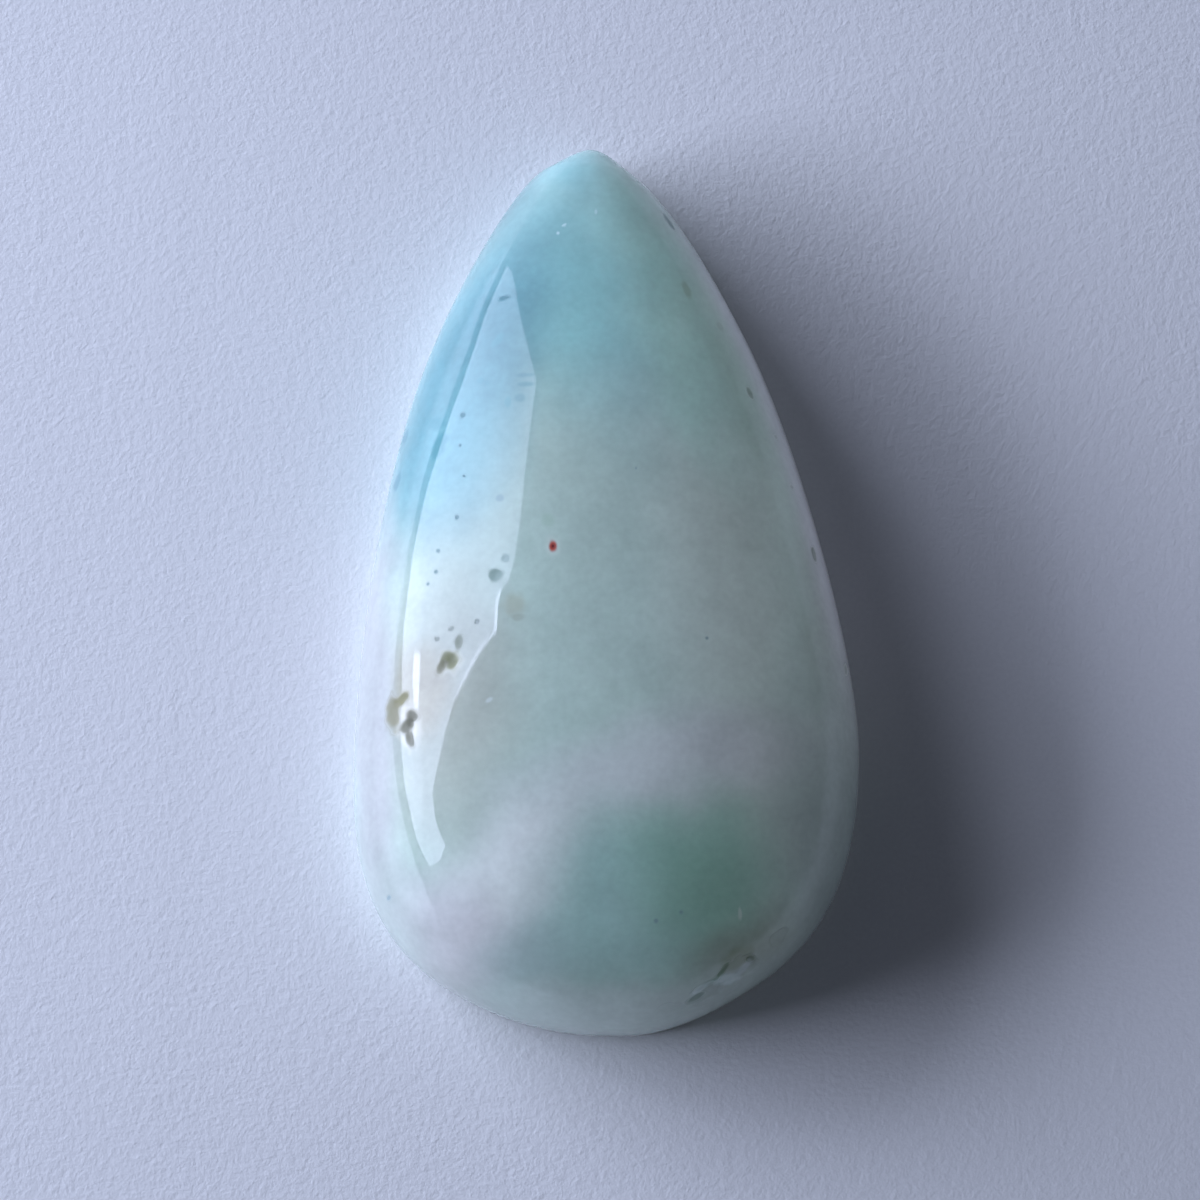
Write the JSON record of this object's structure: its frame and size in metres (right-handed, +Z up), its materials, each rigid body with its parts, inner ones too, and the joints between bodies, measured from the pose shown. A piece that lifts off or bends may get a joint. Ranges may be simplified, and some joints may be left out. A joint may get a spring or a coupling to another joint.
{
  "type": "pear-shaped opal cabochon",
  "caption": "Pear-shaped gemstone cabochon with a high polished dome, a low girdle wall and a flat ground back, for setting in jewellery or display.",
  "frame": {"origin": "middle of the flat back, under the centre of the stone's bounding box", "axes": "+Z up from the flat back through the dome, +Y towards the pointed tip, +X across the stone to the right"},
  "size_m": [0.0198, 0.0354, 0.0074],
  "materials": {
    "opal_stone": "polished"
  },
  "bodies": {
    "root": {"opal": "opal_stone"}
  },
  "joints": []
}
